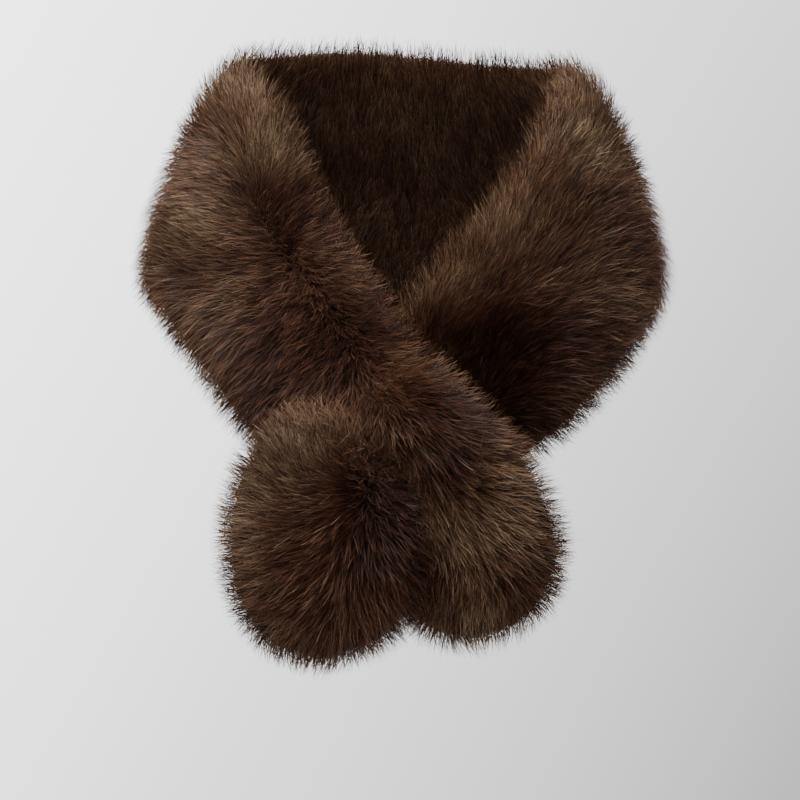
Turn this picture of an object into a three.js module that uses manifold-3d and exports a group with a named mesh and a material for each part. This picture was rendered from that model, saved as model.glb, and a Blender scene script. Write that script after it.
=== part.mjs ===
// Fur collar wrap: one long band of plush fur, furred on both faces, worn round the shoulders.
// One end carries a lengthwise slit near its round tail. The other end is pulled through that slit.
// Millimetres, +Z up, front towards -Y. The origin is the middle of the shoulder line, under the neck.
// The solids are the fur's own outline: the thin cloth runs down the middle of each one.

import * as THREE from "three";
import Module from "manifold-3d";

const SEAM_GAP = 0.3; // between two stretches that follow each other
const PRESS_GAP = 0.45; // between two stretches that press on each other
const RING_POINTS = 32; // points round one cross section
const RINGS_PER_SPAN = 4; // cross sections between two rows of a table
const EDGE_FULLNESS = 2.7; // 2 is an ellipse, more is squarer at the band's edges
const TIP_PULL = 3; // how far the middle of a tail's closing face stands out
const STRAND_REACH = 8; // extra length of a strand, before its neighbours press it back
const FUR = { color: 0x4a3528, roughness: 0.85, metalness: 0 };

// One row is one cross section. neck is the band's edge towards the neck, hem the edge away from it.
// bow is how far the middle stands out from the straight line between the two edges.
// pile is the depth of fur on the outer face, under the depth on the face towards the body.
const COLUMNS = ["neckX", "neckY", "neckZ", "hemX", "hemY", "hemZ", "bow", "pile", "under"];

const SLIT_MIDDLE = [44, -190, -284, -81, -148, -396, 8, 28, 20];

const SLOTTED_TAIL = [
  [91, -172, -499, 58, -170, -511, 2, 8, 8],
  [115, -176, -480, 29, -170, -508, 5, 20, 15],
  [128, -180, -455, 10, -168, -499, 8, 27, 19],
  [134, -184, -426, -7, -164, -486, 10, 31, 21],
  [125, -188, -389, -23, -160, -470, 11, 32, 22],
  [108, -190, -354, -38, -156, -450, 11, 32, 22],
  [89, -190, -329, -52, -154, -430, 10, 31, 22],
];

// The strand above the slit widens to most of the band at both ends of the slit.
const UPPER_STRAND = [
  [89, -190, -329, -26, -161, -411, 9, 32, 22],
  [65, -192, -305, -7, -196, -367, 5, 28, 18],
  [33, -190, -274, -39, -196, -334, 5, 28, 18],
  [2, -172, -244, -92, -149, -339, 6, 29, 20],
];

const LOWER_STRAND = [
  [15, -176, -381, -52, -154, -430, 5, 28, 20],
  [-25, -148, -380, -73, -148, -413, 3, 22, 18],
  [-61, -144, -352, -97, -144, -386, 3, 22, 18],
  [-63, -160, -304, -115, -143, -363, 4, 26, 20],
];

const SLOTTED_FRONT = [
  [2, -172, -244, -115, -143, -363, 6, 29, 20],
  [-33, -142, -195, -142, -134, -332, 8, 30, 20],
  [-77, -112, -127, -173, -116, -296, 10, 30, 20],
  [-106, -84, -65, -204, -90, -254, 12, 30, 19],
  [-129, -50, -5, -233, -50, -214, 12, 29, 17],
  [-166, 10, 48, -255, 24, -182, 5, 26, 15],
];

const BACK = [
  [-166, 10, 48, -255, 24, -182, 5, 26, 15],
  [-135, 64, 65, -200, 118, -196, 14, 28, 16],
  [-72, 86, 73, -100, 150, -201, 12, 30, 17],
  [1, 92, 70, 1, 156, -202, 10, 30, 17],
  [71, 86, 61, 101, 150, -201, 12, 30, 17],
  [129, 64, 53, 199, 118, -200, 14, 28, 16],
  [157, 10, 40, 237, 24, -192, 5, 26, 15],
];

const THROUGH_FRONT = [
  [157, 10, 40, 237, 24, -192, 5, 26, 15],
  [127, -50, -9, 215, -50, -231, 12, 29, 17],
  [106, -80, -63, 190, -86, -267, 12, 30, 19],
  [68, -106, -115, 163, -108, -296, 10, 31, 20],
  [26, -128, -164, 130, -124, -326, 8, 30, 20],
  [-12, -138, -209, 90, -130, -352, 4, 26, 18],
  [-42, -144, -254, 46, -136, -374, 2, 22, 16],
  [-66, -152, -297, 14, -150, -391, 0, 20, 16],
  [-78, -178, -319, 6, -182, -402, 0, 19, 17],
];

const THROUGH_TAIL = [
  [-78, -178, -319, 6, -182, -402, 0, 19, 17],
  [-95, -206, -306, 13, -202, -408, 4, 24, 20],
  [-126, -208, -314, 13, -202, -430, 8, 30, 22],
  [-153, -204, -348, 7, -200, -459, 11, 33, 24],
  [-166, -200, -395, -4, -198, -484, 12, 34, 25],
  [-166, -197, -440, -20, -196, -501, 11, 33, 24],
  [-157, -195, -477, -42, -194, -513, 8, 29, 21],
  [-138, -194, -505, -67, -193, -523, 5, 20, 15],
  [-116, -193, -518, -87, -192, -525, 2, 8, 8],
];

// A smooth curve through one column of a table, at row number t.
function smooth(rows, column, t) {
  const i = Math.min(Math.max(Math.floor(t), 1), rows.length - 3);
  const [a, b, c, d] = [i - 1, i, i + 1, i + 2].map((k) => rows[k][column]);
  const f = t - i;
  return b + 0.5 * f * (c - a + f * (2 * a - 5 * b + 4 * c - d + f * (3 * (b - c) + d - a)));
}

function sectionAt(rows, t) {
  const value = Object.fromEntries(COLUMNS.map((name, k) => [name, smooth(rows, k, t)]));
  const { bow, pile, under } = value;
  const neck = new THREE.Vector3(value.neckX, value.neckY, value.neckZ);
  const hem = new THREE.Vector3(value.hemX, value.hemY, value.hemZ);
  return { neck, hem, bow, pile, under, middle: neck.clone().lerp(hem, 0.5) };
}

const rounded = (value) => Math.sign(value) * Math.abs(value) ** (2 / EDGE_FULLNESS);

// The points of one closed cross section, grown by a margin, and the direction of the band there.
function ring(rows, t, margin) {
  const { neck, hem, bow, pile, under } = sectionAt(rows, t);
  const along = sectionAt(rows, t + 0.05).middle.sub(sectionAt(rows, t - 0.05).middle).normalize();
  const across = hem.clone().sub(neck).normalize();
  const width = neck.distanceTo(hem) + 2 * margin;
  const out = along.clone().cross(across).normalize();
  const points = [];
  for (let k = 0; k < RING_POINTS; k += 1) {
    const angle = (2 * Math.PI * k) / RING_POINTS;
    const share = 0.5 - 0.5 * rounded(Math.cos(angle));
    const lift = rounded(Math.sin(angle));
    const height = 4 * bow * share * (1 - share) + lift * ((lift > 0 ? pile : under) + margin);
    const point = neck.clone().addScaledVector(across, share * width - margin);
    points.push(point.addScaledVector(out, height));
  }
  return { points, along };
}

// Closes a list of rings into one surface, with a fan over each end that stands out by pull.
function skin(rings, pull) {
  const points = rings.flatMap((r) => r.points);
  const faces = [];
  const next = (k) => (k + 1) % RING_POINTS;
  for (let i = 0; i + 1 < rings.length; i += 1) {
    for (let k = 0; k < RING_POINTS; k += 1) {
      const a = i * RING_POINTS + k;
      const b = i * RING_POINTS + next(k);
      faces.push([a, a + RING_POINTS, b + RING_POINTS], [a, b + RING_POINTS, b]);
    }
  }
  for (const [end, side] of [[0, -1], [rings.length - 1, 1]]) {
    const { points: loop, along } = rings[end];
    const middle = loop.reduce((sum, p) => sum.add(p), new THREE.Vector3()).divideScalar(loop.length);
    points.push(middle.addScaledVector(along, side * pull[end === 0 ? 0 : 1]));
    for (let k = 0; k < RING_POINTS; k += 1) {
      const a = end * RING_POINTS + k;
      const b = end * RING_POINTS + next(k);
      faces.push(side > 0 ? [points.length - 1, b, a] : [points.length - 1, a, b]);
    }
  }
  return { points, faces };
}

// The surface of one stretch of the band. before and after are the neighbouring rows that guide the
// curve over a seam, or null at a tail's tip. reach lengthens the stretch over both its seams.
function stretch({ rows, before, after, reach = -SEAM_GAP / 2 }, margin = 0) {
  const guess = (a, b) => a.map((value, k) => 2 * value - b[k]);
  const all = [before ?? guess(rows[0], rows[1]), ...rows, after ?? guess(rows.at(-1), rows.at(-2))];
  const steps = (rows.length - 1) * RINGS_PER_SPAN;
  const rings = [];
  for (let s = 0; s <= steps; s += 1) {
    rings.push(ring(all, 1 + s / RINGS_PER_SPAN, margin));
  }
  for (const [r, side] of [[rings[0], -1], [rings.at(-1), 1]]) {
    r.points.forEach((p) => p.addScaledVector(r.along, side * (reach + margin)));
  }
  return skin(rings, [before ? 0 : TIP_PULL, after ? 0 : TIP_PULL]);
}

const wasm = await Module();
wasm.setup();

const solid = ({ points, faces }) =>
  new wasm.Manifold(
    new wasm.Mesh({
      numProp: 3,
      vertProperties: new Float32Array(points.flatMap((p) => [p.x, p.y, p.z])),
      triVerts: new Uint32Array(faces.flat()),
    }),
  );

const STRETCHES = {
  slotted_tail: { rows: SLOTTED_TAIL, before: null, after: SLIT_MIDDLE },
  slit_upper_strand: {
    rows: UPPER_STRAND, before: SLOTTED_TAIL.at(-2), after: SLOTTED_FRONT[1], reach: STRAND_REACH,
  },
  slit_lower_strand: {
    rows: LOWER_STRAND, before: SLOTTED_TAIL.at(-2), after: SLOTTED_FRONT[1], reach: STRAND_REACH,
  },
  slotted_front: { rows: SLOTTED_FRONT, before: SLIT_MIDDLE, after: BACK[1] },
  back: { rows: BACK, before: SLOTTED_FRONT.at(-2), after: THROUGH_FRONT[1] },
  through_front: { rows: THROUGH_FRONT, before: BACK.at(-2), after: THROUGH_TAIL[1] },
  through_tail: { rows: THROUGH_TAIL, before: THROUGH_FRONT.at(-2), after: null },
};

// Fur gives way where it is pressed: each stretch in the left column keeps clear of the stretches
// that press into it.
const PRESSED_BY = {
  slotted_tail: ["through_front", "through_tail"],
  slit_upper_strand: ["slotted_tail", "slotted_front", "through_front", "through_tail"],
  slit_lower_strand: [
    "slit_upper_strand", "slotted_tail", "slotted_front", "through_front", "through_tail",
  ],
  slotted_front: ["through_front", "through_tail"],
};

const group = new THREE.Group();
group.name = "fur_collar_wrap";
for (const [name, made] of Object.entries(STRETCHES)) {
  let body = solid(stretch(made));
  for (const other of PRESSED_BY[name] ?? []) {
    body = body.subtract(solid(stretch(STRETCHES[other], PRESS_GAP)));
  }
  const largest = body.decompose().reduce((a, b) => (a.volume() > b.volume() ? a : b));
  const { vertProperties, triVerts } = largest.getMesh();
  const geometry = new THREE.BufferGeometry();
  geometry.setAttribute("position", new THREE.BufferAttribute(vertProperties, 3));
  geometry.setIndex(new THREE.BufferAttribute(triVerts, 1));
  geometry.computeVertexNormals();
  const mesh = new THREE.Mesh(geometry, new THREE.MeshStandardMaterial(FUR));
  mesh.name = name;
  group.add(mesh);
}

export default group;
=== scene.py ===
import math

import bpy
import numpy as np
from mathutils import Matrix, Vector
from mathutils.bvhtree import BVHTree


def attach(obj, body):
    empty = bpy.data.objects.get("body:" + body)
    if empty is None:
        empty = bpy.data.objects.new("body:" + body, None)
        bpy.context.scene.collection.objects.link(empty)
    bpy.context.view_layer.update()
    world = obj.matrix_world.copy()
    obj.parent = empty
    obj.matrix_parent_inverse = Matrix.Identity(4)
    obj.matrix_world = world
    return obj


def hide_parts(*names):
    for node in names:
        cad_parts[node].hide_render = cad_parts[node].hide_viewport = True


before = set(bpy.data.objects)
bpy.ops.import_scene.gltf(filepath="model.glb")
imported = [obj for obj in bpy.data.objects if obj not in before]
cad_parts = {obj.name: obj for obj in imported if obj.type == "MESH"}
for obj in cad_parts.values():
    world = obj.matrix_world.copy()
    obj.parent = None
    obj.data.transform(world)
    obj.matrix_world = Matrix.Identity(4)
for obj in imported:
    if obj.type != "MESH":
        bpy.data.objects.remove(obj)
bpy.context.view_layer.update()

MM = 0.001

# A band of plush fur, worn round the shoulders, with one end pulled through a slit in the other.
# The tables and the sizes of the fur are in mm, with +Z up and the front towards -Y.

# One row is one cross section of the band: its edge towards the neck, its hem edge, how far the
# middle bows out, the depth of the fur outside and the depth on the face towards the body.
SLIT_MIDDLE = (44, -190, -284, -81, -148, -396, 8, 28, 20)
TABLES = {
    "slotted_tail": [
        (91, -172, -499, 58, -170, -511, 2, 8, 8),
        (115, -176, -480, 29, -170, -508, 5, 20, 15),
        (128, -180, -455, 10, -168, -499, 8, 27, 19),
        (134, -184, -426, -7, -164, -486, 10, 31, 21),
        (125, -188, -389, -23, -160, -470, 11, 32, 22),
        (108, -190, -354, -38, -156, -450, 11, 32, 22),
        (89, -190, -329, -52, -154, -430, 10, 31, 22),
    ],
    "slit_upper_strand": [
        (89, -190, -329, -26, -161, -411, 9, 32, 22),
        (65, -192, -305, -7, -196, -367, 5, 28, 18),
        (33, -190, -274, -39, -196, -334, 5, 28, 18),
        (2, -172, -244, -92, -149, -339, 6, 29, 20),
    ],
    "slit_lower_strand": [
        (15, -176, -381, -52, -154, -430, 5, 28, 20),
        (-25, -148, -380, -73, -148, -413, 3, 22, 18),
        (-61, -144, -352, -97, -144, -386, 3, 22, 18),
        (-63, -160, -304, -115, -143, -363, 4, 26, 20),
    ],
    "slotted_front": [
        (2, -172, -244, -115, -143, -363, 6, 29, 20),
        (-33, -142, -195, -142, -134, -332, 8, 30, 20),
        (-77, -112, -127, -173, -116, -296, 10, 30, 20),
        (-106, -84, -65, -204, -90, -254, 12, 30, 19),
        (-129, -50, -5, -233, -50, -214, 12, 29, 17),
        (-166, 10, 48, -255, 24, -182, 5, 26, 15),
    ],
    "back": [
        (-166, 10, 48, -255, 24, -182, 5, 26, 15),
        (-135, 64, 65, -200, 118, -196, 14, 28, 16),
        (-72, 86, 73, -100, 150, -201, 12, 30, 17),
        (1, 92, 70, 1, 156, -202, 10, 30, 17),
        (71, 86, 61, 101, 150, -201, 12, 30, 17),
        (129, 64, 53, 199, 118, -200, 14, 28, 16),
        (157, 10, 40, 237, 24, -192, 5, 26, 15),
    ],
    "through_front": [
        (157, 10, 40, 237, 24, -192, 5, 26, 15),
        (127, -50, -9, 215, -50, -231, 12, 29, 17),
        (106, -80, -63, 190, -86, -267, 12, 30, 19),
        (68, -106, -115, 163, -108, -296, 10, 31, 20),
        (26, -128, -164, 130, -124, -326, 8, 30, 20),
        (-12, -138, -209, 90, -130, -352, 4, 26, 18),
        (-42, -144, -254, 46, -136, -374, 2, 22, 16),
        (-66, -152, -297, 14, -150, -391, 0, 20, 16),
        (-78, -178, -319, 6, -182, -402, 0, 19, 17),
    ],
    "through_tail": [
        (-78, -178, -319, 6, -182, -402, 0, 19, 17),
        (-95, -206, -306, 13, -202, -408, 4, 24, 20),
        (-126, -208, -314, 13, -202, -430, 8, 30, 22),
        (-153, -204, -348, 7, -200, -459, 11, 33, 24),
        (-166, -200, -395, -4, -198, -484, 12, 34, 25),
        (-166, -197, -440, -20, -196, -501, 11, 33, 24),
        (-157, -195, -477, -42, -194, -513, 8, 29, 21),
        (-138, -194, -505, -67, -193, -523, 5, 20, 15),
        (-116, -193, -518, -87, -192, -525, 2, 8, 8),
    ],
}
# The neighbouring rows that guide each stretch's curve over its seams, None at a tail's tip.
NEIGHBOURS = {
    "slotted_tail": (None, SLIT_MIDDLE),
    "slit_upper_strand": (TABLES["slotted_tail"][-2], TABLES["slotted_front"][1]),
    "slit_lower_strand": (TABLES["slotted_tail"][-2], TABLES["slotted_front"][1]),
    "slotted_front": (SLIT_MIDDLE, TABLES["back"][1]),
    "back": (TABLES["slotted_front"][-2], TABLES["through_front"][1]),
    "through_front": (TABLES["back"][-2], TABLES["through_tail"][1]),
    "through_tail": (TABLES["through_front"][-2], None),
}
# Which way the fur of the front lies: x, z and the angle, 0 to the right and 90 up.
FLOW = {
    "slotted": [
        (-160, 42, 92), (-188, 28, 125), (-195, 5, 138), (-167, -5, 98), (-181, -21, 132),
        (-153, -7, 75), (-140, -7, 55), (-129, -43, 48), (-164, -49, 132), (-184, -49, 152),
        (-190, -69, 172), (-148, -58, 92), (-223, -74, 178), (-188, -81, 186), (-227, -132, 150),
        (-197, -163, 160), (-161, -145, 180), (-173, -175, 200), (-197, -199, 215),
        (-173, -223, 238), (-131, -163, 208), (-125, -199, 225), (-101, -201, 268), (-120, -68, 50),
        (-115, -87, 40), (-101, -115, 32), (-83, -126, 22), (-89, -145, -6), (-77, -156, -20),
        (-64, -172, -28), (-40, -209, -10), (-16, -240, -4), (2, -270, -5), (7, -298, -25),
        (-16, -281, -36), (-28, -258, -42), (-51, -270, -80), (-62, -258, -95), (-86, -258, 235),
        (-121, -234, 240), (-149, -209, 237), (-154, -184, 214), (-121, -270, 230),
        (-139, -287, 225), (-98, -287, 232), (-69, -293, 246), (-40, -305, 268), (-16, -317, -52),
        (-76, -226, 250), (-58, -226, -60), (-238, -163, 165), (-234, -196, 200), (-209, -235, 222),
        (-182, -276, 228), (34, -272, -3), (54, -293, -3), (75, -314, -12), (13, -304, -26),
        (-8, -314, -46), (-40, -325, 262), (-29, -346, -80), (2, -325, -46), (23, -346, -50),
        (44, -335, -36), (75, -346, -30), (107, -367, -24), (128, -398, -12), (34, -409, -70),
        (54, -409, -60), (86, -409, -45), (107, -430, -38), (122, -462, -38), (86, -472, -55),
        (54, -472, -75), (34, -483, -90), (13, -430, -95), (8, -472, -105), (23, -499, -95),
        (54, -504, -85), (86, -504, -60),
    ],
    "through": [
        (150, 10, 98), (174, -5, 85), (189, -21, 60), (162, -43, 62), (124, -50, 95),
        (192, -66, 42), (139, -80, 56), (107, -106, 80), (185, -89, 32), (204, -121, 30),
        (88, -115, 90), (62, -148, 80), (48, -174, 68), (42, -194, 46), (108, -121, 65),
        (128, -121, 45), (147, -134, 32), (128, -154, 30), (167, -141, 20), (200, -141, 32),
        (220, -154, 28), (141, -194, 24), (167, -207, 14), (194, -200, 10), (220, -187, -8),
        (107, -240, 42), (137, -241, 20), (162, -248, 4), (150, -273, -6), (124, -286, 8),
        (143, -299, -16), (85, -273, 66), (98, -293, 44), (66, -241, 76), (53, -228, 60),
        (26, -215, 62), (16, -196, 80), (38, -290, 70), (160, 32, 95), (187, 9, 70),
        (98, -336, -20), (117, -318, -16),
    ],
    "tail": [
        (-143, -366, 156), (-133, -355, 132), (-102, -334, 108), (-112, -313, 102), (-91, -307, 86),
        (-75, -308, 78), (-62, -312, 66), (-143, -417, 180), (-156, -389, 176), (-133, -438, 188),
        (-123, -468, 215), (-91, -468, 240), (-61, -448, 257), (-40, -458, 280), (-29, -438, 298),
        (-13, -458, 308), (-70, -417, 205), (-81, -386, 170), (-61, -371, 200), (-19, -380, 20),
        (2, -396, -8), (-19, -416, -45), (-3, -434, -55), (-30, -353, 50), (-48, -335, 60),
        (-102, -506, 262), (-75, -510, 270), (-142, -497, 225), (-156, -461, 205), (-48, -497, 285),
        (-26, -479, 300), (-57, -398, 190), (-40, -416, -90), (-75, -353, 130),
    ],
}
# Where the fur of the front is parted or pressed (above 0), it leans less far and is darker, partly its
# dark roots and partly painted shade.
# Where it is below 0 the hairs are only made lighter, a painted highlight: x, z, radius and how much.
PARTING_AND_PAINTED_LIGHT = {
    "slotted": [
        (-112, -118, 42, 0.8), (-50, -222, 34, 1.4), (-100, -212, 48, 1.0), (-135, -280, 40, 0.85),
        (0, -278, 40, 0.85), (10, -345, 34, 0.3), (43, -320, 38, 0.75), (-134, -45, 30, -1.5),
        (-172, 20, 40, -0.9), (-190, -110, 40, -0.3), (55, -485, 36, -0.8),
        (12, -440, 18, 0.45), (70, -385, 30, -0.5), (85, -435, 34, 0.3), (115, -415, 26, 0.3),
    ],
    "through": [
        (72, -250, 62, 1.4), (110, -320, 60, 0.5), (163, 10, 40, -1.1), (174, -50, 30, -0.9),
        (90, -150, 34, -0.4), (34, -195, 26, -0.4), (139, -233, 42, 0.5), (150, -118, 32, 0.3),
        (212, -135, 38, 1.0),
    ],
    "tail": [
        (-22, -390, 44, 1.5), (-60, -450, 60, 0.3), (-105, -325, 36, -1.2), (-147, -405, 34, -1.3),
        (6, -440, 18, 0.45), (-94, -475, 36, -0.1),
    ],
}
# Hairs per square centimetre outside and inside, which flow they follow, and which way along the
# rows they lean where no flow is given. On the back they lean towards its middle.
COATS = {
    "slotted_tail": (66, 16, "slotted", -1),
    "slit_upper_strand": (66, 5, "slotted", 1),
    "slit_lower_strand": (14, 10, "slotted", 1),
    "slotted_front": (63, 16, "slotted", 1),
    "back": (38, 33, None, 0),
    "through_front": (60, 16, "through", -1),
    "through_tail": (66, 16, "tail", 1),
}
# Where one stretch lies on another, the hairs whose tips would be inside the other are left out.
UNDER = {
    "slotted_tail": ["through_tail", "through_front"],
    "slit_upper_strand": ["through_tail", "through_front", "slotted_tail", "slotted_front"],
    "slit_lower_strand": [
        "through_tail", "through_front", "slotted_tail", "slotted_front", "slit_upper_strand",
    ],
    "slotted_front": ["through_front", "through_tail"],
    "through_front": ["slotted_front", "slit_upper_strand", "slotted_tail", "through_tail"],
    "through_tail": ["slit_upper_strand", "slotted_tail"],
}
# The short dense hairs and the longer single ones over them. share is how many grow, width is in
# mm, stray is how far the way of one hair differs, lean is how far it leans, tufts is how far its
# tip is drawn to the middle of its small and its large tuft, lighter and uneven are its tone.
UNDERFUR = {
    "share": 1.0, "width": 0.6, "stray": 0.14, "lean": 1.0, "tufts": (0.26, 0.12),
    "lighter": 0.0, "uneven": 0.15,
}
GUARD_HAIR = {
    "share": 0.46, "width": 0.52, "stray": 0.27, "lean": 0.85, "tufts": (0.12, 0.05),
    "lighter": 0.06, "uneven": 0.18,
}
GUARD_START = -1.5  # how far past the fur's outline the shortest guard hairs end
GUARD_LENGTH = 21.5  # and how much farther the longest ones do
GUARD_POWER = 1.4  # above 1 there are more short ones than long ones
GUARD_LEAN = 6.0  # how much farther the tips of the guard hairs can lean

EDGE_FULLNESS = 2.7  # 2 is an ellipse, more is squarer at the band's edges
CURVE_SAMPLES = 400  # places on a stretch's curve where its length is measured
HALF_ROUND = 180  # places on half a cross section where its girth is measured
ROW_SHARE = 0.05  # how far before and after a ring its direction is measured, in rows
AROUND = 64  # grid points round the band
STEP = 5.0  # grid step along the band
GRID_END = 1.001  # places stop this far before a grid's length, inside its last cell
NO_TIP = 1000.0  # the distance from a tip, where a stretch has none
TIP_PULL = 1.5  # how far the middle of a tail's closing face stands out
SEAM_PULL = -0.15  # and that of a face at a seam

CLOTH_INSET = 20.0  # the cloth ends this far inside the fur's edge
CLOTH_INSET_SHARE = 0.32  # but at most this share of the band's width
CLOTH_HALF = 2.6  # half the thickness of the doubled cloth
CLOTH_HALF_SHARE = 0.3  # but at most this share of the fur's depth
COAT_DEPTH = 0.58  # where the dense undercoat ends, 0 at the cloth and 1 at the fur's outline
ROOT_DEPTH = 0.4  # where a hair starts, measured in the same way
ROOT_SPREAD = 0.12  # and how much higher that can be
INSET = 3.2  # how far inside the outline the underfur ends
UNEVEN_TIPS = 1.4  # and how unevenly
BACK_RISE = 2.7  # how much farther out it ends on the back
HEM_HANG = 17.0  # and how much farther still where it hangs from the back's hem
BACK_COARSE = 1.25  # how much wider the hairs of the back are

# How the fur lies where nothing is drawn for it.
PARTING = 0.4  # where across the band it parts, 0 at the neck edge and 1 at the hem edge
INNER_PARTING = 0.9  # how much nearer to the hem it parts on the inside of the back
BACK_POWER = 1.5  # above 1 the back differs from the rest over most of its length
FAN_SHARE = 0.35  # how far from the parting it leans straight across the band
FAN_SHIFT = 0.15  # and how much of that it does at the parting
LENGTHWISE = 0.7  # how much it leans along the band at the parting
FAN_LENGTHWISE = 0.6  # and how much less it does that away from it
FIRMNESS = 1.2  # how soon a short lean counts as a full one
INNER_PAINTED_SHADE = 0.3  # how far the face towards the body counts as parted: its hairs lean a little less and it is darker, a painted shade
EDGE_TURN = (26.0, 1.5, 0.8)  # near the band's edges it turns outwards: reach, power, most
TIP_TURN = (30.0, 1.3, 0.85)  # and near a tip

FLOW_NEAR = 18.0  # the reach of a drawn direction
FRONT_FROM = 0.12  # the drawn directions count where the fur faces the front this much
FRONT_OVER = 0.4  # and fully where it faces it this much more
BACK_FADE = 60.0  # they fade over this length towards the back stretch
# the limits of the parting with its painted shade and painted highlight
PARTING_AND_PAINTED_LEAST, PARTING_AND_PAINTED_MOST = -1, 1.4

# Each hair. A tone is 0 at the darkest and 1 at the lightest.
OUTER_SLOPE, OUTER_START = 2.5, 0.9  # how the outer face's density passes into the inner face's
LAY = 36.0  # how far a hair leans along the surface
LAY_SPREAD = (0.8, 1.2)  # the shortest and the longest lean, as shares
LAY_REACH = 28.0  # nearer than this to an edge or a tip it leans less far
LEAST_LAY = 0.3  # but at least this share
PARTED_SHORTER = 0.3  # how much less it leans where the fur is parted
TIP_SHARE = 0.6  # how much of its lean lies after the place that is drawn for it
LEAST_RISE = 4.0  # even a flat hair bends as if it rose this much
BEND = 0.17  # how far a hair bends out, as a share of its rise
ROOT_TUFTS = (3.6, 13.0)  # sizes of the small and large tufts that lean the same way
TIP_TUFTS = (2.2, 10.0)  # and of those whose tips draw together
STRAY_RINGS = (1.3, 1.0)  # how far off a hair and a tuft look for their lean, along the band
STRAY_SPOTS = (0.7, 0.6)  # and round it
TUFT_WAYS = (2, 3)  # how much the ways of small and large tufts differ
LOOSE, LOOSE_POWER = 0.6, 1.5  # how much these ways count where the lean is short
SWIRLS = ((0.2, 1, 60), (0.13, 2, 24))  # how far the lean swirls: strength, seed, size
TUFT_SWIRLS = (0.05, 0.08)  # and how far in small and large tufts
MIDDLE_TONE = 0.5
TONES = ((0.11, 3, 60), (0.06, 4, 16))  # how the tone changes: strength, seed, size
LOOSE_PAINTED_SHADE = 0.12  # how much darker a hair is where the lean is short, a painted shade of the open fur
PARTED_AND_PAINTED_DARKER = 0.38  # and where the fur is parted, partly painted shade; below 0 it is lighter, a painted highlight
TUFT_TONE = 0.035  # how much the tones of tufts differ
DARKEST, LIGHTEST = 0.03, 0.97
WIDTH_SPREAD = (0.7, 1.25)  # the narrowest and the widest hair, as shares
BLADE_ROLL, BLADE_TURN = 0.55, 0.45  # how unevenly the blades are rolled and shaded
BLADE_ROUNDNESS = 0.3  # how far a flat blade is shaded as a round hair
ROOT_HEIGHT, BEND_HEIGHT, TIP_HEIGHT = 0.02, 0.55, 0.98  # on a hair's map
UV_HALF = 0.012  # half the width of a hair on its map

TUFT_TABLE = 257  # the tufts' places repeat after this many
NOISE_WAVES = 7  # a noise is the sum of so many waves
NOISE_FINENESS = 2.2
NOISE_HEIGHT = 2.6  # the sum is divided by this
FULL_TURN = 6.28  # each wave starts at a random place of its turn
MOST_RINGS, MOST_SPOTS = 7, 6  # a root and a tip are no farther from a hair's place on the grid
INSIDE_REACH = 0.03  # metres, the farthest that a tip is looked for inside a neighbour
INSIDE_DEPTH = 0.0015  # metres, a tip this deep counts as inside

HALVED = ("back", "slotted_front", "through_front")  # their fur is two pieces, for its size
FLOOR_HEIGHT = -1.05  # metres, as the floor's other sizes
FLOOR_RADIUS = 1.9
FLOOR_FADE = 0.7  # how far from its middle it starts to fade
FLOOR_SIDES = 96

TUFT_TURNS = np.random.default_rng(5).normal(size=4096)


def tuft_turn(tuft, offset=0):
    """A random value that all the hairs of a tuft share, another one for each offset."""
    return TUFT_TURNS[(tuft + offset) % len(TUFT_TURNS)]


def unit(v):
    return v / np.maximum(np.linalg.norm(v, axis=-1, keepdims=True), 1e-9)


def dot(a, b):
    return np.sum(a * b, axis=-1, keepdims=True)


def blend(a, b, share):
    return a * (1 - share) + b * share


def at_depth(cloth, edge, depth):
    """Points between the cloth, at depth 0, and the fur's outline, at depth 1."""
    return cloth + (edge - cloth) * depth


def nearness(distance, reach, power, most):
    """From most at distance 0 down to 0 at reach."""
    return np.clip(1 - distance / reach, 0, 1) ** power * most


def smooth(rows, t):
    """Catmull-Rom through the rows at row numbers t."""
    i = np.clip(np.floor(t).astype(int), 1, len(rows) - 3)
    f = (t - i)[:, None]
    a, b, c, d = rows[i - 1], rows[i], rows[i + 1], rows[i + 2]
    return b + 0.5 * f * (c - a + f * (2 * a - 5 * b + 4 * c - d + f * (3 * (b - c) + d - a)))


def rounded(value):
    return np.sign(value) * np.abs(value) ** (2 / EDGE_FULLNESS)


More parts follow.
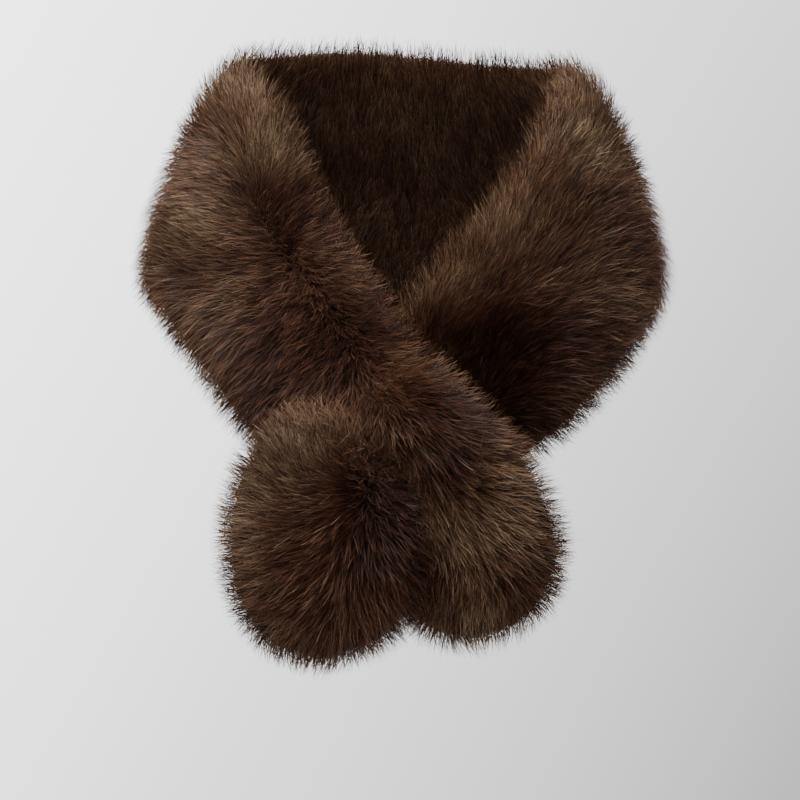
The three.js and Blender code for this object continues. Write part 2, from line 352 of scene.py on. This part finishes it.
class Stretch:
    """The fur's outline and the cloth of one stretch, as grids of rings along it."""

    def __init__(self, name):
        rows = [np.array(row, float) for row in TABLES[name]]
        before, after = NEIGHBOURS[name]
        first = 2 * rows[0] - rows[1] if before is None else np.array(before, float)
        last = 2 * rows[-1] - rows[-2] if after is None else np.array(after, float)
        self.name = name
        self.rows = np.array([first, *rows, last])
        dense = np.linspace(1, len(rows), CURVE_SAMPLES)
        value = smooth(self.rows, dense)
        middle = (value[:, 0:3] + value[:, 3:6]) / 2
        length = np.r_[0, np.cumsum(np.linalg.norm(np.diff(middle, axis=0), axis=1))]
        self.length = length[-1]
        self.rings = int(round(self.length / STEP)) + 1
        start = np.linspace(0, self.length, self.rings)
        self.row_at = np.interp(start, length, dense)
        self.set_angles()
        self.edge, self.cloth, self.along = self.section(self.angles)
        self.to_tip = np.full(self.rings, NO_TIP)
        if before is None:
            self.to_tip = start
        if after is None:
            self.to_tip = self.length - start
        if before is None or after is None:
            self.end_cloth(start, before is None)
        self.step_along = np.gradient(self.edge, axis=0)
        self.step_round = (np.roll(self.edge, -1, axis=1) - np.roll(self.edge, 1, axis=1)) / 2
        normal = unit(np.cross(self.step_round, self.step_along))
        inward = dot(normal, self.edge - self.cloth) < 0
        self.normal = np.where(inward, -normal, normal)

    def section(self, angles):
        """Points on the fur's outline and on the cloth, at these angles of each cross section."""
        value = smooth(self.rows, self.row_at)
        ahead = smooth(self.rows, self.row_at + ROW_SHARE)
        behind = smooth(self.rows, self.row_at - ROW_SHARE)
        along = unit((ahead[:, 0:3] + ahead[:, 3:6]) - (behind[:, 0:3] + behind[:, 3:6]))
        neck, hem = value[:, None, 0:3], value[:, None, 3:6]
        bow, pile, under = value[:, 6:7], value[:, 7:8], value[:, 8:9]
        width = np.linalg.norm(hem - neck, axis=-1)
        across = unit(hem - neck)
        out = unit(np.cross(along[:, None, :], across))
        share = 0.5 - 0.5 * rounded(np.cos(angles))
        lift = rounded(np.sin(angles))
        height = 4 * bow * share * (1 - share) + lift * np.where(lift > 0, pile, under)
        edge = neck + across * (share * width)[..., None] + out * height[..., None]
        inset = np.minimum(CLOTH_INSET, width * CLOTH_INSET_SHARE)
        share = inset / width + share * (1 - 2 * inset / width)
        half = np.minimum(CLOTH_HALF, pile * CLOTH_HALF_SHARE)
        height = 4 * bow * share * (1 - share) + lift * half
        cloth = neck + across * (share * width)[..., None] + out * height[..., None]
        return edge, cloth, along

    def set_angles(self):
        """Angles that space the outline's points evenly round each ring, and how far each point
        is from the nearer edge of the band."""
        dense = np.linspace(0, 2 * np.pi, 2 * HALF_ROUND + 1)
        edge, _, _ = self.section(np.tile(dense, (self.rings, 1)))
        girth = np.cumsum(np.linalg.norm(np.diff(edge, axis=1), axis=2), axis=1)
        girth = np.hstack([np.zeros((self.rings, 1)), girth])
        angles, reach = [], []
        for row in girth:
            at = np.linspace(0, row[-1], AROUND, endpoint=False)
            angles.append(np.interp(at, row, dense))
            to_neck = np.minimum(at, row[-1] - at)
            reach.append(np.minimum(to_neck, np.abs(at - row[HALF_ROUND])))
        self.angles = np.array(angles)
        self.reach = np.array(reach)[..., None]

    def end_cloth(self, start, tip_first):
        """Ends the cloth of a tail before its fur ends."""
        near = self.to_tip < 2 * CLOTH_INSET
        held = np.where(near, CLOTH_INSET + self.to_tip / 2, self.to_tip)
        if not tip_first:
            held = self.length - held
        ring = np.repeat(np.interp(held, start, np.arange(self.rings)), AROUND)
        cloth = self.at(self.cloth, ring, np.tile(np.arange(AROUND), self.rings))
        self.cloth = cloth.reshape(self.rings, AROUND, 3)

    def at(self, grid, ring, spot):
        """A grid's value at fractional numbers of the ring and of the spot on the ring."""
        ring = np.clip(ring, 0, self.rings - GRID_END)
        i = ring.astype(int)
        k = np.floor(spot).astype(int)
        f, g = (ring - i)[:, None], (spot - k)[:, None]
        k0, k1 = k % AROUND, (k + 1) % AROUND
        low = blend(grid[i, k0], grid[i, k1], g)
        high = blend(grid[i + 1, k0], grid[i + 1, k1], g)
        return blend(low, high, f)

    def body(self, depth, every=2):
        """Vertices and faces of the closed surface at one depth of the fur."""
        last = self.rings - 1
        keep = np.unique(np.r_[np.arange(0, last, every), last])
        ring = at_depth(self.cloth, self.edge, depth)[keep][:, ::2]
        m, n = ring.shape[:2]
        points = [tuple(p) for p in ring.reshape(-1, 3) * MM]
        faces = []
        for i in range(m - 1):
            for k in range(n):
                a, b = i * n + k, i * n + (k + 1) % n
                faces.append((a, a + n, b + n, b))
        for end, side, guide in ((0, -1, 0), (m - 1, 1, 1)):
            pull = TIP_PULL if NEIGHBOURS[self.name][guide] is None else SEAM_PULL
            middle = ring[end].mean(axis=0) + side * pull * self.along[keep[end]]
            points.append(tuple(middle * MM))
            for k in range(n):
                a, b = end * n + k, end * n + (k + 1) % n
                faces.append((len(points) - 1, b, a) if side > 0 else (len(points) - 1, a, b))
        return points, faces


def drawn_flow(name, x, z):
    """The lean of the fur in the front view at these points, shorter where its directions part."""
    table = np.array(FLOW[name], float)
    d2 = (x[:, None] - table[:, 0]) ** 2 + (z[:, None] - table[:, 1]) ** 2
    weight = np.exp(-d2 / (2 * FLOW_NEAR**2)) + 1e-6 / (d2 + 25)  # never all zero
    weight = weight / weight.sum(axis=1, keepdims=True)
    angle = np.radians(table[:, 2])
    return weight @ np.cos(angle), weight @ np.sin(angle)


def parted(name, x, z):
    """How far the fur is parted at these points of the front, with partly painted shade above 0 and
    painted highlight below 0.
    """
    found = np.zeros(len(x))
    for px, pz, radius, strength in PARTING_AND_PAINTED_LIGHT[name]:
        found += strength * np.exp(-((x - px) ** 2 + (z - pz) ** 2) / radius**2)
    return np.clip(found, PARTING_AND_PAINTED_LEAST, PARTING_AND_PAINTED_MOST)


def set_lay(band):
    """Sets how coarse the fur of a stretch is and, on each grid point, the way in which it leans,
    shorter where it parts, how far it is parted, with the painted shade and highlight that go with that,
    and how far inside the outline it ends."""
    _, _, flow, home = COATS[band.name]
    along, around = unit(band.step_along), unit(band.step_round)
    outer = np.sin(band.angles)[..., None] > 0
    # The rings run from the neck edge (angle 0) over the outer face to the hem edge and back.
    angle = band.angles[..., None]
    from_neck = np.where(outer, angle, 2 * np.pi - angle)
    share = 0.5 - 0.5 * rounded(np.cos(from_neck))
    hemward = np.where(outer, around, -around)
    if home == 0:
        # On the back the fur falls towards the hem, and inside it stands towards the neck.
        side = np.linspace(-1, 1, band.rings)[:, None, None]
        middle = 1 - np.abs(side) ** BACK_POWER
        parting = PARTING + middle * np.where(outer, -PARTING, INNER_PARTING)
        down = np.clip(-band.normal[..., 2:3], 0, 1)
        band.inset = INSET - middle * (BACK_RISE + HEM_HANG * down)
        band.coarse = BACK_COARSE
        lengthwise = along * side * -LENGTHWISE
    else:
        parting = PARTING
        band.inset = np.full_like(angle, INSET)
        band.coarse = 1.0
        lengthwise = along * home * LENGTHWISE
    fan = np.clip((share - parting) / FAN_SHARE, -1, 1)
    lay = hemward * (fan + FAN_SHIFT) + lengthwise * (1 - FAN_LENGTHWISE * np.abs(fan))
    firm = np.clip(np.linalg.norm(lay, axis=-1, keepdims=True) * FIRMNESS, 0, 1)
    lay = unit(lay)
    # The face towards the body is darker, a painted shade, and its hairs lean a little less.
    band.parted = np.where(outer, 0.0, INNER_PAINTED_SHADE)
    if flow:
        x, z = band.edge.reshape(-1, 3)[:, 0], band.edge.reshape(-1, 3)[:, 2]
        c, s = drawn_flow(flow, x, z)
        drawn = np.stack([c, np.zeros_like(c), s], axis=1).reshape(band.edge.shape)
        size = np.linalg.norm(drawn, axis=-1, keepdims=True)
        drawn = unit(drawn - band.normal * dot(drawn, band.normal)) * size
        front = np.clip((-band.normal[..., 1:2] - FRONT_FROM) / FRONT_OVER, 0, 1) * outer
        if band.name.endswith("_front"):
            from_back = np.linspace(0, band.length, band.rings)[::-home][:, None, None]
            front = front * np.clip(from_back / BACK_FADE, 0, 1)
        firm, lay = blend(firm, size, front), blend(lay, drawn, front)
        # Parted places of the front lean less and are darker, partly painted shade; places below 0 are
        # lighter, a painted highlight.
        band.parted = band.parted + parted(flow, x, z).reshape(front.shape) * front
    # Near an edge, and near a tip, the fur turns outwards over it.
    turn = nearness(band.reach, *EDGE_TURN)
    towards = hemward * np.where(share > 0.5, 1.0, -1.0)
    lay, firm = blend(unit(lay), towards, turn), blend(firm, 1, turn)
    turn = nearness(band.to_tip, *TIP_TURN)[:, None, None]
    lay, firm = blend(unit(lay), along * home, turn), blend(firm, 1, turn)
    band.lay = unit(lay) * firm


def hair_places(band, rng, share):
    """Fractional grid places for the hairs, denser on the outer face."""
    dense_out, dense_in, _, _ = COATS[band.name]
    lengthwise = band.edge[1:] - band.edge[:-1]
    sideways = np.roll(band.edge, -1, axis=1)[:-1] - band.edge[:-1]
    area = np.linalg.norm(np.cross(lengthwise, sideways), axis=2) / 100  # square centimetres
    outer = np.clip(np.sin(band.angles)[:-1] * OUTER_SLOPE + OUTER_START, 0, 1)
    count = rng.poisson(area * (dense_in + (dense_out - dense_in) * outer) * share)
    i, k = np.nonzero(count)
    hairs = count[i, k]
    ring = np.repeat(i, hairs) + rng.random(hairs.sum())
    spot = np.repeat(k, hairs) + rng.random(hairs.sum())
    return ring, spot


def tufts(band, rng, ring, spot, size, pull=0):
    """Each place's tuft, as a number, and the places pulled towards the middle of their tufts."""
    step_along = band.length / (band.rings - 1)
    girth = np.linalg.norm(band.step_round, axis=2).sum(axis=1)
    step_round = girth[np.clip(ring.astype(int), 0, band.rings - 1)] / AROUND
    x, y = ring * step_along / size, spot * step_round / size
    offsets = rng.random((TUFT_TABLE, TUFT_TABLE, 2))
    best = np.full(len(ring), 1e9)
    cx, cy, number = x.copy(), y.copy(), np.zeros(len(ring), int)
    for dx in (-1, 0, 1):
        for dy in (-1, 0, 1):
            gx, gy = np.floor(x).astype(int) + dx, np.floor(y).astype(int) + dy
            o = offsets[gx % TUFT_TABLE, gy % TUFT_TABLE]
            px, py = gx + o[:, 0], gy + o[:, 1]
            d = (px - x) ** 2 + (py - y) ** 2
            hit = d < best
            best = np.where(hit, d, best)
            cx, cy = np.where(hit, px, cx), np.where(hit, py, cy)
            number = np.where(hit, gx * 1009 + gy * 9176 + 7, number)  # one of its own for each tuft
    ring = ring + (cx - x) * pull * size / step_along
    spot = spot + (cy - y) * pull * size / step_round
    return number, ring, spot


def noise(p, seed, size):
    """A soft random value, mostly from -1 to 1, that changes over about size mm."""
    rng = np.random.default_rng(seed)
    value = np.zeros(len(p))
    for _ in range(NOISE_WAVES):
        k = rng.normal(size=3) / size * NOISE_FINENESS
        value += np.sin(p @ k + rng.random() * FULL_TURN)
    return value / NOISE_HEIGHT


def layered(p, layers, start=0.0):
    """Noises of several strengths and sizes on top of each other."""
    return sum((strength * noise(p, seed, size) for strength, seed, size in layers), start)


def moved(band, ring, spot, lay, far):
    """The places this far along lay, and how many mm of that lie past the end of the stretch."""
    u, v = band.at(band.step_along, ring, spot), band.at(band.step_round, ring, spot)
    a, b, c = dot(u, u)[:, 0], dot(u, v)[:, 0], dot(v, v)[:, 0]
    p, q = dot(lay, u)[:, 0], dot(lay, v)[:, 0]
    det = np.maximum(a * c - b * b, 1e-6)
    free = ring + np.clip((p * c - q * b) / det * far, -MOST_RINGS, MOST_RINGS)
    spot = spot + np.clip((q * a - p * b) / det * far, -MOST_SPOTS, MOST_SPOTS)
    end = band.rings - GRID_END
    ring = np.clip(free, 0, end)
    return ring, spot, (free - ring) * band.length / end


def way_of_hairs(band, rng, kind, ring, spot, normal):
    """The way in which each hair leans, and how firmly."""
    count = len(ring)
    small, _, _ = tufts(band, rng, ring, spot, ROOT_TUFTS[0])
    large, _, _ = tufts(band, rng, ring, spot, ROOT_TUFTS[1])
    # Neighbouring hairs and tufts take their lean from places a little apart, so partings stay soft.
    stray_ring = STRAY_RINGS[0] * rng.normal(size=count) + STRAY_RINGS[1] * tuft_turn(small, 9)
    stray_spot = STRAY_SPOTS[0] * rng.normal(size=count) + STRAY_SPOTS[1] * tuft_turn(small, 901)
    lay = band.at(band.lay, ring + stray_ring, spot + stray_spot)
    lay = lay - normal * dot(lay, normal)
    firm = np.clip(np.linalg.norm(lay, axis=1), 0, 1)
    # Where the lean is short, each tuft goes a way of its own.
    turn = (tuft_turn(small) * TUFT_WAYS[0] + tuft_turn(large) * TUFT_WAYS[1])[:, None]
    across, along = unit(band.at(band.step_round, ring, spot)), unit(band.at(band.step_along, ring, spot))
    stray = across * np.cos(turn) + along * np.sin(turn)
    lay = unit(lay + stray * (LOOSE * (1 - firm) ** LOOSE_POWER)[:, None])
    swirl = layered(band.at(band.edge, ring, spot), SWIRLS)
    swirl += TUFT_SWIRLS[0] * tuft_turn(small) + TUFT_SWIRLS[1] * tuft_turn(large)
    swirl += rng.normal(size=count) * kind["stray"]
    lay = lay * np.cos(swirl)[:, None] + np.cross(normal, lay) * np.sin(swirl)[:, None]
    return lay, firm


def grow(band, rng, kind):
    """The hairs of one kind: root, bend and tip of each, its width, its tone and its normal."""
    ring, spot = hair_places(band, rng, kind["share"] * (1.0))
    count = len(ring)
    normal = unit(band.at(band.normal, ring, spot))
    lay, firm = way_of_hairs(band, rng, kind, ring, spot, normal)
    parted_here = band.at(band.parted, ring, spot)[:, 0]
    to_tip = np.interp(ring, np.arange(band.rings), band.to_tip)
    reach = np.minimum(band.at(band.reach, ring, spot)[:, 0], to_tip)
    near_edge = LEAST_LAY + (1 - LEAST_LAY) * np.clip(reach / LAY_REACH, 0, 1)
    far = LAY * near_edge * rng.uniform(*LAY_SPREAD, count) * (LEAST_LAY + (1 - LEAST_LAY) * firm)
    far = far * (1 - PARTED_SHORTER * np.maximum(parted_here, 0)) * kind["lean"]

    root_ring, root_spot, past = moved(band, ring, spot, lay, -far * (1 - TIP_SHARE))
    along = unit(band.at(band.step_along, root_ring, root_spot))
    cloth, edge = band.at(band.cloth, root_ring, root_spot), band.at(band.edge, root_ring, root_spot)
    depth = ROOT_DEPTH + ROOT_SPREAD * rng.random(count)
    root = at_depth(cloth, edge, depth[:, None]) + along * past[:, None]

    ring, spot, past = moved(band, ring, spot, lay, far * TIP_SHARE)
    small, ring, spot = tufts(band, rng, ring, spot, TIP_TUFTS[0], kind["tufts"][0])
    _, ring, spot = tufts(band, rng, ring, spot, TIP_TUFTS[1], kind["tufts"][1])
    ring = np.clip(ring, 0, band.rings - GRID_END)
    normal = unit(band.at(band.normal, ring, spot))
    tip = band.at(band.edge, ring, spot) + unit(band.at(band.step_along, ring, spot)) * past[:, None]
    if kind is GUARD_HAIR:
        beyond = GUARD_LENGTH * rng.random(count) ** GUARD_POWER + GUARD_START
        tip = tip + normal * beyond[:, None]
        tip = tip + lay * rng.uniform(0, GUARD_LEAN, count)[:, None]
    else:
        inset = band.at(band.inset, ring, spot)[:, 0]
        tip = tip + normal * (rng.normal(size=count) * UNEVEN_TIPS - inset)[:, None]
    rise = np.maximum(dot(tip - root, normal), LEAST_RISE)
    bend = root + (tip - root) * 0.5 + normal * (rise * BEND)

    tone = layered(tip, TONES, MIDDLE_TONE)
    # Painted shade where the lean is short and where the fur is parted, painted highlight where that is
    # below 0.
    tone = tone - LOOSE_PAINTED_SHADE * (1 - firm) - PARTED_AND_PAINTED_DARKER * parted_here
    tone += kind["lighter"] + rng.normal(size=count) * kind["uneven"]
    tone += TUFT_TONE * tuft_turn(small, 77)
    width = kind["width"] * rng.uniform(*WIDTH_SPREAD, count) * band.coarse
    return {
        "root": root, "bend": bend, "tip": tip, "normal": normal, "width": width,
        "tone": np.clip(tone, DARKEST, LIGHTEST),
        "roll": rng.normal(size=count) * BLADE_ROLL, "turn": rng.normal(size=count) * BLADE_TURN,
    }


def inside(tree, points):
    """Which points lie inside a closed surface."""
    found = np.zeros(len(points), bool)
    for j, p in enumerate(points):
        place, normal, _, distance = tree.find_nearest(p, INSIDE_REACH)
        if place is not None and (np.array(p) - np.array(place)) @ np.array(normal) < 0:
            found[j] = distance > INSIDE_DEPTH
    return found


def fur_of(band, rng, stretches, trees):
    """All the hairs of one stretch, without those whose tips would be inside another."""
    coats = [grow(band, rng, kind) for kind in (UNDERFUR, GUARD_HAIR)]
    hair = {key: np.concatenate([coat[key] for coat in coats]) for key in coats[0]}
    keep = np.ones(len(hair["tip"]), bool)
    for other in UNDER.get(band.name, ()):
        corners = stretches[other].edge.reshape(-1, 3)
        above = hair["tip"] > corners.min(axis=0)
        below = hair["tip"] < corners.max(axis=0)
        near = np.flatnonzero(keep & np.all(above & below, axis=1))
        keep[near[inside(trees[other], hair["tip"][near] * MM)]] = False
    return {key: value[keep] for key, value in hair.items()}


def hair_mesh(name, hair):
    """One mesh of slender blades, each wide at its bend, with its tone and height on its map."""
    root, bend, tip, normal = (hair[key] for key in ("root", "bend", "tip", "normal"))
    count = len(tip)
    way = unit(tip - root)
    up = unit(normal - way * dot(normal, way))
    side = np.cross(way, up)
    roll = hair["roll"][:, None]
    across = side * np.cos(roll) + up * np.sin(roll)
    half = across * hair["width"][:, None] / 2
    verts = np.stack([bend + half, tip, bend - half, root], 1).reshape(-1, 3)
    facing = unit(up + side * hair["turn"][:, None])
    tilt = across * BLADE_ROUNDNESS
    normals = [unit(facing + tilt), facing, unit(facing - tilt), facing]
    normals = np.stack(normals, 1).reshape(-1, 3)
    tone = hair["tone"]
    heights = (BEND_HEIGHT, TIP_HEIGHT, BEND_HEIGHT, ROOT_HEIGHT)
    sides = (tone + UV_HALF, tone, tone - UV_HALF, tone)
    uvs = [np.stack([u, np.full(count, v)], 1) for u, v in zip(sides, heights)]
    uvs = np.stack(uvs, 1)
    mesh = bpy.data.meshes.new(name)
    mesh.vertices.add(4 * count)
    mesh.vertices.foreach_set("co", (verts * MM).astype(np.float32).ravel())
    mesh.loops.add(4 * count)
    mesh.loops.foreach_set("vertex_index", np.arange(4 * count, dtype=np.int32))
    mesh.polygons.add(count)
    mesh.polygons.foreach_set("loop_start", np.arange(0, 4 * count, 4, dtype=np.int32))
    mesh.polygons.foreach_set("loop_total", np.full(count, 4, np.int32))
    mesh.polygons.foreach_set("use_smooth", np.ones(count, bool))
    layer = mesh.uv_layers.new(name="OFBake")
    layer.data.foreach_set("uv", uvs.astype(np.float32).ravel())
    mesh.update(calc_edges=True)
    mesh.normals_split_custom_set_from_vertices(normals.astype(np.float32))
    return add_object(name, mesh)


def add_object(name, data):
    made = bpy.data.objects.new(name, data)
    bpy.context.scene.collection.objects.link(made)
    return made


def new_mesh(name, points, faces, material):
    mesh = bpy.data.meshes.new(name)
    mesh.from_pydata(points, [], faces)
    mesh.polygons.foreach_set("use_smooth", np.full(len(faces), True))
    mesh.update()
    mesh.materials.append(material)
    return add_object(name, mesh)


def node(tree, kind, **inputs):
    made = tree.nodes.new(kind)
    for key, value in inputs.items():
        made.inputs[key].default_value = value
    return made


def ramp(tree, stops):
    made = tree.nodes.new("ShaderNodeValToRGB")
    while len(made.color_ramp.elements) < len(stops):
        made.color_ramp.elements.new(0.5)
    for element, (place, colour) in zip(made.color_ramp.elements, stops):
        element.position = place
        element.color = (*colour, 1)
    return made


def start_material(name, roughness, specular=0.5):
    made = bpy.data.materials.new(name)
    made.use_nodes = True
    shader = made.node_tree.nodes["Principled BSDF"]
    shader.inputs["Roughness"].default_value = roughness
    shader.inputs["Specular IOR Level"].default_value = specular
    return made, made.node_tree, shader


def hair_material(name, warm):
    """Dark at the root, lighter at the tip, with a tone of its own for each hair, which also holds
    painted shade and painted highlight.
    """
    made, tree, shader = start_material(name, 0.5, 0.085)
    shader.inputs["Sheen Weight"].default_value = 0.2
    shader.inputs["Sheen Roughness"].default_value = 0.35
    shader.inputs["Sheen Tint"].default_value = (0.56, 0.34, 0.21, 1)
    uv = tree.nodes.new("ShaderNodeUVMap")
    uv.uv_map = "OFBake"
    split = tree.nodes.new("ShaderNodeSeparateXYZ")
    tree.links.new(uv.outputs["UV"], split.inputs[0])
    height = ramp(tree, [
        (0.0, (0.004, 0.0018, 0.001)), (0.5, (0.013, 0.0049, 0.0026)),
        (0.78, (0.064, 0.0285, 0.0136)), (1.0, (0.205, 0.117, 0.060)),
    ])
    tree.links.new(split.outputs["Y"], height.inputs[0])
    r, g, b = warm
    tones = ramp(tree, [
        (0.0, (0.24, 0.13, 0.12)), (0.35, (0.74 * r, 0.555 * g, 0.52 * b)),
        (0.65, (1.17 * r, 1.32 * g, 1.37 * b)), (1.0, (2.3 * r, 3.2 * g, 3.8 * b)),
    ])
    tree.links.new(split.outputs["X"], tones.inputs[0])
    mix = tree.nodes.new("ShaderNodeMix")
    mix.data_type = "RGBA"
    mix.blend_type = "MULTIPLY"
    mix.inputs[0].default_value = 1.0
    tree.links.new(height.outputs[0], mix.inputs[6])
    tree.links.new(tones.outputs[0], mix.inputs[7])
    tree.links.new(mix.outputs[2], shader.inputs["Base Color"])
    return made


def grained(name, specular, grain_kind, grain_inputs, stops, bump_inputs):
    """A matt material whose colour and bump follow one fine pattern."""
    made, tree, shader = start_material(name, 0.9, specular)
    coords = tree.nodes.new("ShaderNodeTexCoord")
    grain = node(tree, grain_kind, **grain_inputs)
    tree.links.new(coords.outputs["Object"], grain.inputs["Vector"])
    colour = ramp(tree, stops)
    tree.links.new(grain.outputs[0], colour.inputs[0])
    tree.links.new(colour.outputs[0], shader.inputs["Base Color"])
    bump = node(tree, "ShaderNodeBump", **bump_inputs)
    tree.links.new(grain.outputs[0], bump.inputs["Height"])
    tree.links.new(bump.outputs[0], shader.inputs["Normal"])
    return made


def build_wrap():
    stretches = {name: Stretch(name) for name in TABLES}
    trees = {}
    for name, band in stretches.items():
        set_lay(band)
        trees[name] = BVHTree.FromPolygons(*band.body(1.0, every=1))
    undercoat = grained(
        "fur_undercoat", 0.1, "ShaderNodeTexNoise", {"Scale": 420.0, "Detail": 5.0, "Roughness": 0.65},
        [(0.3, (0.006, 0.004, 0.003)), (0.62, (0.022, 0.012, 0.008)), (0.8, (0.045, 0.026, 0.017))],
        {"Strength": 0.9, "Distance": 0.004},
    )
    backing = grained(
        "knit_backing", 0.5, "ShaderNodeTexWave", {"Scale": 260.0, "Distortion": 1.5, "Detail": 2.0},
        [(0.2, (0.020, 0.012, 0.009)), (0.8, (0.045, 0.029, 0.021))],
        {"Strength": 0.6, "Distance": 0.001},
    )
    coats = {
        "slotted": hair_material("fur_slotted_half", (1.0, 0.98, 0.98)),
        "through": hair_material("fur_through_half", (0.98, 0.97, 0.98)),
        "tail": hair_material("fur_through_tail", (1.12, 1.07, 1.13)),
        None: hair_material("fur_back", (1.0, 1.0, 1.0)),
    }
    for number, (name, band) in enumerate(stretches.items()):
        core = new_mesh(f"{name}_cloth", *band.body(0.0), backing)
        coat = new_mesh(f"{name}_undercoat", *band.body(COAT_DEPTH), undercoat)
        hair = fur_of(band, np.random.default_rng(100 + number), stretches, trees)
        halves = [np.ones(len(hair["tip"]), bool)]
        if name in HALVED:
            left = hair["tip"][:, 0] < np.median(hair["tip"][:, 0])
            halves = [left, ~left]
        fur = []
        for part, pick in enumerate(halves):
            picked = {key: value[pick] for key, value in hair.items()}
            piece = hair_mesh(f"{name}_fur_{part + 1}", picked)
            piece.data.materials.append(coats[COATS[name][2]])
            fur.append(piece)
        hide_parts(name)
        for piece in (core, coat, *fur):
            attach(piece, "root")


def floor_material():
    """Pale, fading into the pale room towards the floor's rim."""
    made, tree, shader = start_material("pale_floor", 0.8)
    coords = tree.nodes.new("ShaderNodeTexCoord")
    fine = node(tree, "ShaderNodeTexNoise", Scale=2.0, Detail=2.0)
    tree.links.new(coords.outputs["Object"], fine.inputs["Vector"])
    shade = ramp(tree, [(0.3, (0.78, 0.78, 0.78)), (0.7, (0.80, 0.80, 0.80))])
    tree.links.new(fine.outputs[0], shade.inputs[0])
    tree.links.new(shade.outputs[0], shader.inputs["Base Color"])
    far = tree.nodes.new("ShaderNodeVectorMath")
    far.operation = "LENGTH"
    tree.links.new(coords.outputs["Object"], far.inputs[0])
    fade = tree.nodes.new("ShaderNodeMapRange")
    fade.interpolation_type = "SMOOTHSTEP"
    fade.inputs["From Min"].default_value = FLOOR_FADE
    fade.inputs["From Max"].default_value = FLOOR_RADIUS
    tree.links.new(far.outputs["Value"], fade.inputs["Value"])
    clear = tree.nodes.new("ShaderNodeBsdfTransparent")
    mix = tree.nodes.new("ShaderNodeMixShader")
    tree.links.new(fade.outputs[0], mix.inputs[0])
    tree.links.new(shader.outputs[0], mix.inputs[1])
    tree.links.new(clear.outputs[0], mix.inputs[2])
    tree.links.new(mix.outputs[0], tree.nodes["Material Output"].inputs["Surface"])
    return made


def build_stage():
    """A round pale floor, well below the wrap, as it is worn at shoulder height."""
    turns = np.linspace(0, 2 * math.pi, FLOOR_SIDES + 1)[:-1]
    rim = [(FLOOR_RADIUS * math.cos(a), FLOOR_RADIUS * math.sin(a), 0) for a in turns]
    floor = new_mesh("pale_floor", rim, [tuple(range(FLOOR_SIDES))], floor_material())
    floor.location.z = FLOOR_HEIGHT


def area_light(name, place, aim, size, power, colour=(1, 1, 1)):
    data = bpy.data.lights.new(name, "AREA")
    data.shape = "RECTANGLE"
    data.size, data.size_y = size
    data.energy = power
    data.color = colour
    light = add_object(name, data)
    light.location = place
    light.rotation_euler = (Vector(aim) - Vector(place)).to_track_quat("-Z", "Y").to_euler()


def build_lights():
    area_light("key", (-1.05, -1.0, 2.2), (0, 0, -0.2), (1.5, 1.2), 205, (1.0, 0.99, 0.97))
    area_light("overhead", (0.1, -0.35, 2.5), (0, -0.05, 0), (1.6, 1.0), 150, (1.0, 1.0, 0.99))
    area_light("fill", (1.9, -2.4, 0.1), (0, 0, -0.3), (1.8, 1.8), 20)
    area_light("back", (0.9, 2.2, 1.2), (0, 0, -0.2), (1.8, 1.4), 60)


def build_room():
    """A pale room. What is seen of it, behind the wrap, is a little lighter at the top left, like
    a lit wall, and what lights the wrap is even."""
    world = bpy.data.worlds.new("pale_room")
    world.use_nodes = True
    tree = world.node_tree
    seen = tree.nodes["Background"]
    seen.inputs["Strength"].default_value = 2.1
    coords = tree.nodes.new("ShaderNodeTexCoord")
    slope = tree.nodes.new("ShaderNodeVectorMath")
    slope.operation = "DOT_PRODUCT"
    slope.inputs[1].default_value = (1.0, 0.0, -0.55)
    tree.links.new(coords.outputs["Generated"], slope.inputs[0])
    split = tree.nodes.new("ShaderNodeSeparateXYZ")
    tree.links.new(coords.outputs["Generated"], split.inputs[0])
    ahead = tree.nodes.new("ShaderNodeMath")
    ahead.operation = "MULTIPLY"
    tree.links.new(slope.outputs["Value"], ahead.inputs[0])
    tree.links.new(split.outputs["Y"], ahead.inputs[1])
    spread = tree.nodes.new("ShaderNodeMapRange")
    spread.inputs["From Min"].default_value = -0.26
    spread.inputs["From Max"].default_value = 0.26
    tree.links.new(ahead.outputs[0], spread.inputs["Value"])
    wall = ramp(tree, [
        (0.0, (1.7, 1.72, 1.75)), (0.5, (0.90, 0.91, 0.925)), (1.0, (0.37, 0.37, 0.375)),
    ])
    tree.links.new(spread.outputs[0], wall.inputs[0])
    tree.links.new(wall.outputs[0], seen.inputs["Color"])
    soft = node(tree, "ShaderNodeBackground", Color=(1.0, 0.99, 0.97, 1), Strength=0.42)
    path = tree.nodes.new("ShaderNodeLightPath")
    mix = tree.nodes.new("ShaderNodeMixShader")
    tree.links.new(path.outputs["Is Camera Ray"], mix.inputs[0])
    tree.links.new(soft.outputs[0], mix.inputs[1])
    tree.links.new(seen.outputs[0], mix.inputs[2])
    tree.links.new(mix.outputs[0], tree.nodes["World Output"].inputs["Surface"])
    bpy.context.scene.world = world


def build_camera():
    data = bpy.data.cameras.new("camera")
    data.sensor_width = 36.0
    data.lens = 99.0
    camera = add_object("camera", data)
    camera.location = (-0.012, -2.2, -0.29)
    camera.rotation_euler = (math.radians(90), 0, 0)
    bpy.context.scene.camera = camera


build_camera()
build_wrap()
build_stage()
build_lights()
build_room()
